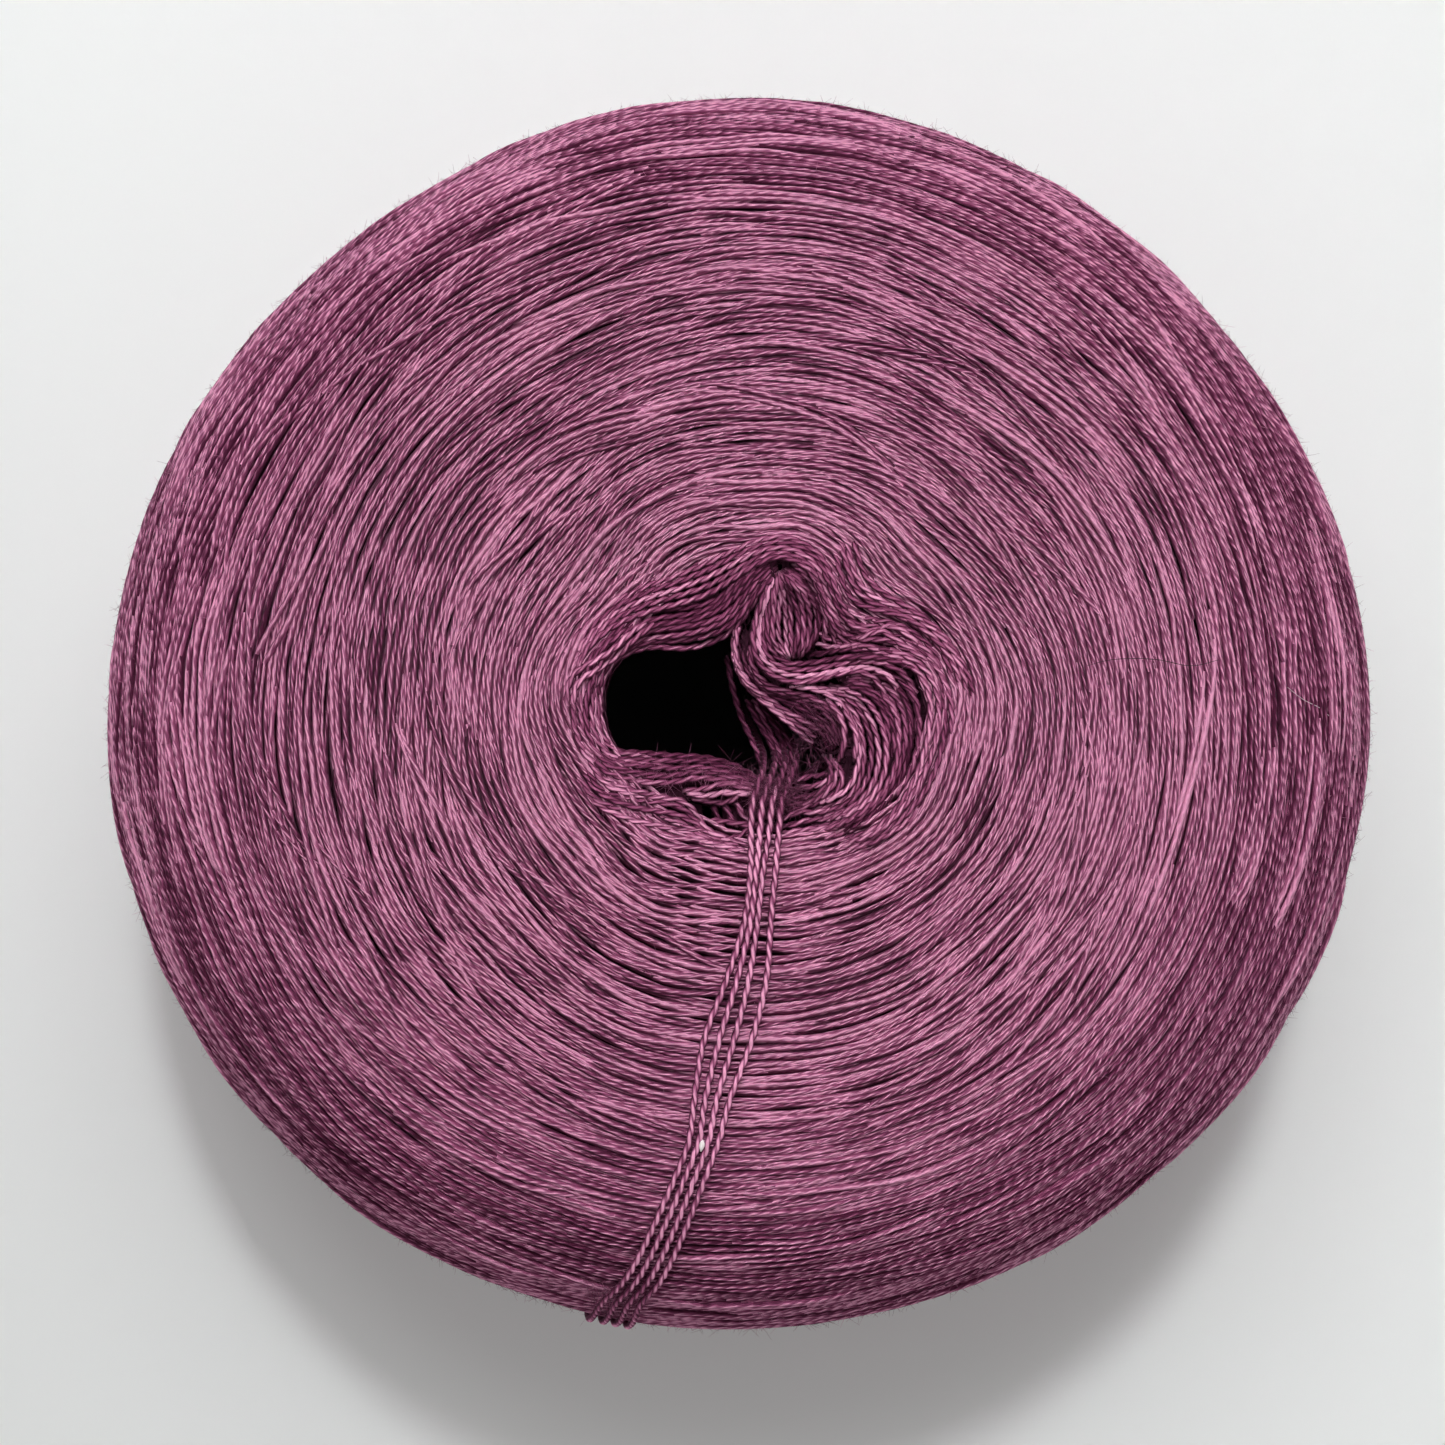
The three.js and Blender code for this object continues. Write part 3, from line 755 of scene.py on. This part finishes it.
def cord_route(roll, thread):
    """The route of one thread of the loose end, out of the hole, over the top and down the side."""
    route = [(x + thread, y, z) for y, z, x in THREADS_IN_HOLE]
    for y, places, hump in THREADS_ON_TOP:
        x = places[thread]
        radius = np.hypot(x, y)
        lift = CORD_LIFT + (hump if thread == 1 else 0)
        if radius < CROWN_RADIUS:
            route.append((x, y, roll.top_height(x, y) + lift))
            continue
        top, inner = roll.top_at(x, y)[2], roll.top_at(x * 0.98, y * 0.98)[2]
        slope = (inner - top) / (0.02 * radius)
        route.append((x, y, top + lift * np.hypot(1, slope)))
    for z, turns in THREADS_ON_SIDE:
        angle = np.radians(turns[thread] - 90)
        across = np.array([np.cos(angle), np.sin(angle)])
        place = roll.hit((*(across * 2 * MEAN_RADIUS), z), (*(-across), 0))
        route.append((*(across * (np.hypot(place[0], place[1]) + CORD_LIFT)), z))
    return route


def make_cords(roll, material):
    """The loose end: four threads with their real two-ply twist."""
    rng = np.random.default_rng(5)
    routes = np.array([cord_route(roll, thread) for thread in range(BAND_THREADS)])
    middle = routes.mean(axis=0)[:, :2]
    share = np.interp(middle[:, 1], *np.transpose(CORD_SQUEEZE))[:, None]
    routes[:, :, :2] = middle + (routes[:, :, :2] - middle) * share
    for thread, route in enumerate(routes):
        line = spline(route, CORD_STEP)
        y, z = line[:, 1], line[:, 2]
        down_side = smooth((-y - 44) / 8)[:, None]
        in_hole = smooth((y + 5) / 4)[:, None]
        out = unit(np.array(OUT_ON_TOP) * (1 - down_side) + unit(line * (1, 1, 0)) * down_side)
        out = unit(out * (1 - in_hole) + np.array(OUT_IN_HOLE) * in_hole)
        tones = 0.25 * np.sin(np.arange(len(line)) * CORD_STEP / 6 + thread) - 0.35 + rng.normal(0, 0.12)
        tones = tones - 1.7 * smooth((y + 8.3) / 2.5)  # in the shade of the hole
        # Painted shade where the threads turn down over the rim.
        tones = tones - 0.9 * smooth((-y - 46.5) / 2) * smooth((z - 44) / 4)  # where they turn down
        threads = Threads(CORD_SIDES)
        threads.add_plied(line, out, tones, rng.random(), CORD_FULLNESS, PLY_SHADE)
        name = f"loose_thread_{thread + 1}"
        piece = threads.build(name + "_twisted", material)
        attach(piece, "root")
        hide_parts(name)


def ring_level(ring, angle):
    """The level at which a turn passes: even rings, pushed out of round near the collapsed centre."""
    fine = np.arange(-180, 180, 2.0)
    outline = np.interp(fine, *np.transpose(COLLAPSED_OUTLINE), period=360)
    kernel = np.hanning(11)
    kernel /= kernel.sum()
    outline = np.convolve(np.pad(outline, 5, "wrap"), kernel, "valid")
    pushed = np.interp(np.degrees(angle), fine, outline, period=360) - COLLAPSED_RADIUS
    near = np.clip((COLLAPSE_REACH - ring) / (COLLAPSE_REACH - COLLAPSED_RADIUS), 0, 1.15) ** 1.7
    shift = WINDING_CENTRE[0] * np.cos(angle) + WINDING_CENTRE[1] * np.sin(angle)
    wide = smooth((54 - ring) / 26) * smooth((ring - 13) / 10)
    return ring + pushed * near + shift * wide


def band_tones(rng, length, points, threads):
    """Tones of the threads of one band, lighter and darker along their length."""
    x = np.linspace(0, length, points)
    shared = rng.normal(0, BAND_TONES) + 0.25 * wave(rng, x / rng.uniform(3, 8))
    return [
        shared + rng.normal(0, BAND_TONES) + 0.2 * wave(rng, x / rng.uniform(1.5, 4)) for _ in range(threads)
    ]


def add_band(threads, roll, rng, ring, angle, half, count, lay, shade):
    """Threads side by side that come up out of the roll, run around it for a while and dive again."""
    length = 2 * half * roll.radius_at(ring)
    share = np.linspace(-1, 1, max(6, int(length / lay["step"]) + 1))
    turn = angle + half * share
    tones = band_tones(rng, length, len(share), count)
    bow = lay["bow"] * rng.normal(0.2, 0.6)
    tilt = rng.normal(0, lay["tilt"]) * length / 30
    wander = 0.16 * wave(rng, share * rng.uniform(1.5, 4))
    fan = rng.normal(0, 0.16)
    offset = -(count - 1) * THREAD_PITCH / 2
    for k in range(count):
        own = 0.11 * wave(rng, share * length * rng.uniform(0.12, 0.35))
        level = ring + offset * (1 + fan * share) + bow * share**2 + tilt * share + wander + own
        level = np.maximum(level, INNERMOST_RING)
        offset += THREAD_PITCH * rng.uniform(*lay["gaps"])
        bob = 0.08 * wave(rng, share * length * rng.uniform(0.1, 0.3))
        height = lay["lift"] + rng.normal(0, 0.07) + bob - lay["dive"] * np.abs(share) ** 4
        line, out = roll.place(ring_level(level, turn), turn, height)
        thin = rng.uniform(0.85, 1.08) * (0.6 + 0.4 * smooth((1 - np.abs(share)) * 7))
        # Lower stretches and the ends that dive are darker: painted shade.
        tone = tones[k] + lay["tone"] + 0.5 * (height - lay["lift"]) + shade.at(level, turn)
        threads.add(line, out, tone, rng.random(), THREAD_RADIUS * thin)


def lay_bands(threads, roll, rng, first, last, lay, shade):
    """Rings of bands from one level to another. Cover says how much of each ring is laid."""
    ring = first
    while ring < last:
        radius = roll.radius_at(ring)
        count = int(rng.choice(lay["counts"]))
        bands = max(2, int(round(2 * np.pi * radius * lay["cover"] / np.mean(lay["reach"]))))
        start = rng.uniform(0, 2 * np.pi)
        for b in range(bands):
            half = rng.uniform(*lay["reach"]) / radius / 2
            angle = start + 2 * np.pi * (b + rng.uniform(-0.4, 0.4)) / bands
            add_band(threads, roll, rng, ring + rng.normal(0, 0.6), angle, half, count, lay, shade)
        ring += count * THREAD_PITCH * rng.uniform(0.9, 1.1)


def lay_turns(threads, roll, rng, first, last, lay, flow, shade):
    """Single turns side by side. Each runs for a while, wanders a little and dives below its neighbours."""
    ring = first
    while ring < last:
        radius = roll.radius_at(ring)
        around = 2 * np.pi * radius
        start = rng.uniform(0, 2 * np.pi)
        laid = 0.0
        while laid < around * lay["cover"]:
            length = min(rng.uniform(*lay["reach"]), around)
            share = np.linspace(-1, 1, max(6, int(length / lay["step"]) + 1))
            along = share * length / 2
            turn = start + (laid + length / 2 + along) / radius
            wander = rng.normal(0, 0.05) + lay["wander"] * wave(rng, along / rng.uniform(1.6, 4.5))
            wander = wander + 0.6 * lay["wander"] * wave(rng, along / rng.uniform(0.8, 1.6))
            level = ring + flow.at(ring, turn) + wander
            bob = lay["wave"] * wave(rng, along / rng.uniform(1.8, 5)) + rng.normal(0, 0.07)
            height = lay["lift"] + bob - lay["dive"] * np.abs(share) ** 6
            line, out = roll.place(ring_level(level, turn), turn, height)
            # Raised stretches are lighter: painted light. Near the rim the threads are darker: painted
            # shade.
            tone = lay["tone"] + rng.normal(0, 0.5) + 0.9 * bob + shade.at(ring, turn)
            tone = tone + np.interp(ring, RIM_RINGS, (0, RIM_PAINTED_SHADE))
            tone = tone + 0.25 * wave(rng, along / rng.uniform(1, 4))
            thick = rng.uniform(0.86, 1.1) * (1 + 0.08 * wave(rng, along / rng.uniform(0.6, 1.5)))
            threads.add(line, out, tone, rng.random(), THREAD_RADIUS * thick)
            laid += length * 0.97
        ring += THREAD_PITCH * rng.uniform(0.93, 1.07)


def lay_whole_rings(threads, roll, rng, first, last, lift, tone, step):
    """Closed turns that lie below the others, one thread beside the other."""
    for ring in np.arange(first, last, THREAD_PITCH):
        steps = int(2 * np.pi * roll.radius_at(ring) / step)
        turn = rng.uniform(0, 2 * np.pi) + np.linspace(0, 2 * np.pi * 1.01, steps)
        level = ring + 0.09 * wave(rng, 3 * turn) + 0.05 * wave(rng, 11 * turn)
        height = lift + 0.08 * wave(rng, rng.integers(5, 12) * turn)
        line, out = roll.place(ring_level(level, turn), turn, height)
        tones = tone + rng.normal(0, 0.2) + 0.3 * wave(rng, rng.integers(4, 14) * turn)
        threads.add(line, out, tones, rng.random(), THREAD_RADIUS * LOWER_FULLNESS)


def make_top(roll, material):
    """The turns of the top and the shoulder, in three pieces over a layer of whole rings."""
    rng = np.random.default_rng(11)
    flow = Field(rng, 0.35, (2, 9), (0.1, 0.25))
    shade = Field(rng, 0.08, (6, 36), (0.2, 0.9), 14)
    lower = Threads(3)
    lay_whole_rings(lower, roll, rng, *TOP_LOWER_RINGS)
    pieces = [lower.build("winding_lower", material)]
    for name, first, last in TOP_PIECES:
        threads = Threads(4, PLY_DEPTH)
        lay_turns(threads, roll, rng, first, last, TOP_TURNS, flow, shade)
        lay_bands(threads, roll, rng, max(first, 15.0), last, STRAY_THREADS, shade)
        pieces.append(threads.build(name, material))
    return pieces


def make_side(roll, material):
    """Long bands down the side. Those of one layer cross over those of the other."""
    rng = np.random.default_rng(23)
    threads = Threads(4)
    lay_whole_rings(threads, roll, rng, *SIDE_BASE_RINGS)
    pieces = [threads.build("side_base", material)]
    span = np.radians(SIDE_SPAN)
    share = np.linspace(0, 1, int(span * MEAN_RADIUS / 2.8))
    ends = 0.6 * (1 - smooth(share * 14)) + 0.6 * (1 - smooth((1 - share) * 14))
    for name, bands, lift, way in SIDE_LAYERS:
        threads = Threads(4)
        for b in range(bands):
            start = 2 * np.pi * (b + rng.uniform(-0.4, 0.4)) / bands
            high = SIDE_LEVELS[0] + rng.uniform(-2, 9)
            low = SIDE_LEVELS[1] - rng.uniform(-2, 5)
            path = (high + low) / 2 - (low - high) / 2 * np.cos(np.pi * share)
            turn = start + way * span * share
            tones = band_tones(rng, span * MEAN_RADIUS, len(share), BAND_THREADS)
            for k in range(BAND_THREADS):
                level = path + (k - 1.5) * THREAD_PITCH * 1.05 + rng.normal(0, 0.06)
                line, out = roll.place(level, turn, lift + rng.normal(0, 0.04) - ends)
                threads.add(line, out, tones[k], rng.random(), THREAD_RADIUS * 1.04)
        pieces.append(threads.build(name, material))
    return pieces


def make_underside(roll, material):
    rng = np.random.default_rng(31)
    threads = Threads(4)
    lay_whole_rings(threads, roll, rng, 110.0, roll.length - 3.0, -0.45, -0.1, 2.4)
    shade = Field(rng, 0.2, (6, 30), (0.2, 0.9))
    lay_bands(threads, roll, rng, 112.0, roll.length - 4.0, UNDERSIDE_BANDS, shade)
    return threads.build("winding_underside", material)


def pixel_place(pixels):
    """Where pixels of the picture lie on the top of the cake."""
    pixels = np.reshape(pixels, (-1, 2))
    reach = (CAMERA_PLACE[2] - HEIGHT + 2) / FOCAL_PIXELS
    middle = PICTURE_PIXELS / 2
    x = CAMERA_PLACE[0] + (pixels[:, 0] - middle) * reach
    y = CAMERA_PLACE[1] + (middle - pixels[:, 1]) * reach
    return np.stack([x, y], 1)


def make_centre(roll, material):
    """The bundles of loose turns that have sunk into the hole, with their real twist."""
    rng = np.random.default_rng(41)
    threads = Threads(5)
    for _, count, lift, tone, first, last in BUNDLES:
        ends = [spline(pixel_place(route), 0.3) for route in (first, last)]
        ends = [evenly(end, run_length(end)[-1] / 60) for end in ends]
        for k in range(count):
            mix = k / max(count - 1, 1)
            flat = evenly(ends[0] * (1 - mix) + ends[1] * mix, BUNDLE_STEP)
            share = np.linspace(0, 1, len(flat))
            sway = 0.07 * wave(rng, share * rng.uniform(5, 11))
            across = unit(np.gradient(flat, axis=0))[:, ::-1] * (-1, 1)
            flat = flat + across * sway[:, None]
            dive = 1.1 * (1 - smooth(share * 9)) + 1.1 * (1 - smooth((1 - share) * 9))
            hump = 0.16 * wave(rng, share * rng.uniform(6, 12))
            z = roll.top_height(flat[:, 0], flat[:, 1]) + lift + hump - dive + rng.normal(0, 0.08)
            # The bundles are darker on the whole: painted shade in the sunk centre.
            tones = tone + rng.normal(-1.0, 0.5)
            tones = tones + 0.2 * wave(rng, share * len(flat) * BUNDLE_STEP / 3)
            threads.add_plied(np.column_stack([flat, z]), UP, tones, rng.random(), 1.0, PLY_SHADE_IN_CENTRE)
    return threads.build("centre_bundles", material)


def make_bore(roll, material):
    """The turns on the wall of the hole."""
    rng = np.random.default_rng(53)
    threads = Threads(3)
    middle = np.array(BORE_MIDDLE)
    heights = np.arange(BORE_STEP, 54, BORE_STEP)
    wall = np.full((len(heights), BORE_ANGLES), BORE_RADIUS)
    for i, z in enumerate(heights):
        for j, angle in enumerate(np.linspace(0, 2 * np.pi, BORE_ANGLES + 1)[:-1]):
            place = roll.hit((*middle, z), (np.cos(angle), np.sin(angle), 0))
            if place is not None:
                wall[i, j] = np.hypot(*(place[:2] - middle))
    for z in np.arange(2.5, 52.5, BAND_THREADS * THREAD_PITCH * 0.95):
        turn = rng.uniform(0, 2 * np.pi) + np.linspace(0, 2 * np.pi * 1.04, 38)
        # The wall's threads are darker: painted shade inside the hole.
        tones = [tone - 0.9 for tone in band_tones(rng, 60, len(turn), BAND_THREADS)]
        tilt = rng.normal(0, 0.5)
        column = np.mod(turn, 2 * np.pi) / (2 * np.pi) * BORE_ANGLES
        across = np.column_stack([np.cos(turn), np.sin(turn)])
        for k in range(BAND_THREADS):
            level = z + (k - 1.5) * THREAD_PITCH + tilt * np.sin(turn)
            reach = sample(wall, (level - heights[0]) / BORE_STEP, column, wrap=True)
            reach = reach - 0.1 + rng.normal(0, 0.06)
            line = np.column_stack([middle + reach[:, None] * across, level])
            threads.add(line, np.column_stack([-across, np.zeros(len(turn))]), tones[k], rng.random())
    return threads.build("bore_wall", material)


def make_core(solid, material):
    """The body of the roll below the turns that show."""
    mesh = solid.data.copy()
    mesh.name = "roll_body"
    co, normals = (np.zeros((len(mesh.vertices), 3), np.float32) for _ in range(2))
    mesh.vertices.foreach_get("co", co.ravel())
    mesh.vertices.foreach_get("normal", normals.ravel())
    away = np.linalg.norm(co[:, :2], axis=1) / MM
    depth = np.interp(away, (CROWN_RADIUS, MEAN_RADIUS - 4), CORE_DEPTHS)
    depth = np.maximum(depth, CORE_DEPTHS[1] * smooth(-normals[:, 2] * 2))
    moved = co - normals * depth[:, None].astype(np.float32) * MM
    mesh.vertices.foreach_set("co", moved.ravel())
    mesh.materials.clear()
    mesh.materials.append(material)
    mesh.shade_smooth()
    return add_object("roll_body", mesh)


def add_fibre(threads, rng, base, out, length, tone):
    """One loose fibre that stands out of a thread."""
    tangent = np.cross(out, rng.normal(0, 1, 3))
    tangent /= np.linalg.norm(tangent)
    heading = out * rng.uniform(0.1, 0.9) + tangent
    heading /= np.linalg.norm(heading)
    bend = rng.normal(0, 0.6, 3)
    share = np.linspace(0, 1, 3)[:, None]
    line = base + heading * length * share + bend * length * 0.4 * share**2
    threads.add(line, out + 0.01, tone, rng.random(), FIBRE_RADIUS * (1 - 0.6 * share[:, 0]))


def make_fuzz(roll, material):
    """Loose fibres all over the roll, with more at its outline, the root of the loose end and the rim."""
    rng = np.random.default_rng(67)
    threads = Threads(3)
    spots = []
    for first, last, count in FUZZY_RINGS:
        spots += [(rng.uniform(first, last), rng.uniform(0, 2 * np.pi)) for _ in range(count)]
    for level, angle in spots:
        base, out = roll.place(np.array([level]), np.array([angle]), np.array([0.3]))
        add_fibre(threads, rng, base[0], out[0], rng.uniform(0.3, 1.15), rng.normal(0.3, 0.3))
    for corner, size, height, tone, count in FUZZY_SPOTS:
        for _ in range(count):
            x, y = pixel_place(corner + rng.uniform(0, 1, 2) * size)[0]
            place = roll.top_at(x, y)
            base = np.array([x, y, height if place is None else max(place[2] + 0.6, height)])
            add_fibre(threads, rng, base, np.array(UP), rng.uniform(0.8, 2.2), rng.normal(tone, 0.3))
    return threads.build("loose_fibres", material)


def make_small_things(roll):
    """A dark hair, a light fibre and a speck of white fluff that lie on the yarn."""
    pieces = []
    for name, colour, lift, pixels, radii in SMALL_THINGS:
        route = [(x, y, roll.top_at(x, y)[2] + lift) for x, y in pixel_place(pixels)]
        line = spline(route, 0.25)
        radius = np.interp(np.linspace(0, 1, len(line)), np.linspace(0, 1, len(radii)), radii)
        threads = Threads(6)
        threads.add(line, UP, 0.0, 0.0, radius)
        material = new_material(name, {"Base Color": (*colour, 1), "Roughness": 0.8})[0]
        pieces.append(threads.build(name, material))
    return pieces


def make_floor():
    mesh = bpy.data.meshes.new("floor")
    corners = [(x * FLOOR_HALF, y * FLOOR_HALF, 0) for x, y in ((-1, -1), (1, -1), (1, 1), (-1, 1))]
    mesh.from_pydata(corners, [], [(0, 1, 2, 3)])
    material, tree, shader = new_material("floor", {"Roughness": 0.8})
    spread = node(tree, "ShaderNodeTexNoise", {"Scale": 3.0})
    fill(tree, shader, {"Base Color": colour_ramp(tree, spread.outputs[0], FLOOR_COLOURS)})
    mesh.materials.append(material)
    add_object("floor", mesh)


def add_lamp(name, shape, size, power, place, turn, spread=180.0):
    light = bpy.data.lights.new(name, "AREA")
    light.shape = shape
    light.size = size
    light.spread = np.radians(spread)
    light.energy = power
    lamp = add_object(name, light)
    lamp.location = place
    lamp.rotation_euler = turn.to_euler()


def make_light():
    """The light of the room, a soft box with a narrow beam, and a near lamp above the cake and behind it."""
    world = bpy.data.worlds.new("studio")
    bpy.context.scene.world = world
    world.use_nodes = True
    tree = world.node_tree
    direction = node(tree, "ShaderNodeTexCoord").outputs["Generated"]
    split = node(tree, "ShaderNodeSeparateXYZ", {0: direction})
    slope = maths(tree, "MULTIPLY_ADD", split.outputs[1], ROOM_SLOPE, 1.0)
    fill(tree, tree.nodes["Background"], {0: colour_ramp(tree, split.outputs[2], ROOM_LIGHT), 1: slope})

    away = Vector(BOX_DIRECTION).normalized()
    place = Vector((*BOX_TARGET, 0.0)) + away * BOX_DISTANCE
    turn = (-away).to_track_quat("-Z", "Y") @ Quaternion((0, 0, 1), np.radians(BOX_ROLL))
    add_lamp("soft_box", "SQUARE", BOX_SIZE, BOX_POWER, place, turn, BOX_SPREAD)
    turn = (-Vector(LAMP_PLACE)).to_track_quat("-Z", "Y")
    add_lamp("near_lamp", "DISK", LAMP_SIZE, LAMP_POWER, LAMP_PLACE, turn)


def main():
    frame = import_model()
    solid = frame["nodes"]["wound_yarn"]
    roll = Roll(solid)
    make_camera()
    bpy.context.scene.view_settings.view_transform = "Standard"
    yarn = thread_material("wound_yarn", 0.66, 1.0, 0.8)
    loose = thread_material("loose_yarn", 0.50, 0.0, 0.8)
    fibre = thread_material("loose_fibre", 0.5, 0.0, 0.0)
    make_cords(roll, loose)

    core = make_core(solid, core_material("roll_body"))
    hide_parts("wound_yarn")
    pieces = [core, *make_top(roll, yarn), *make_side(roll, yarn), make_underside(roll, yarn)]
    pieces += [make_centre(roll, loose), make_bore(roll, yarn), make_fuzz(roll, fibre)]
    pieces += make_small_things(roll)
    for piece in pieces:
        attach(piece, "root")
    make_floor()
    make_light()


main()
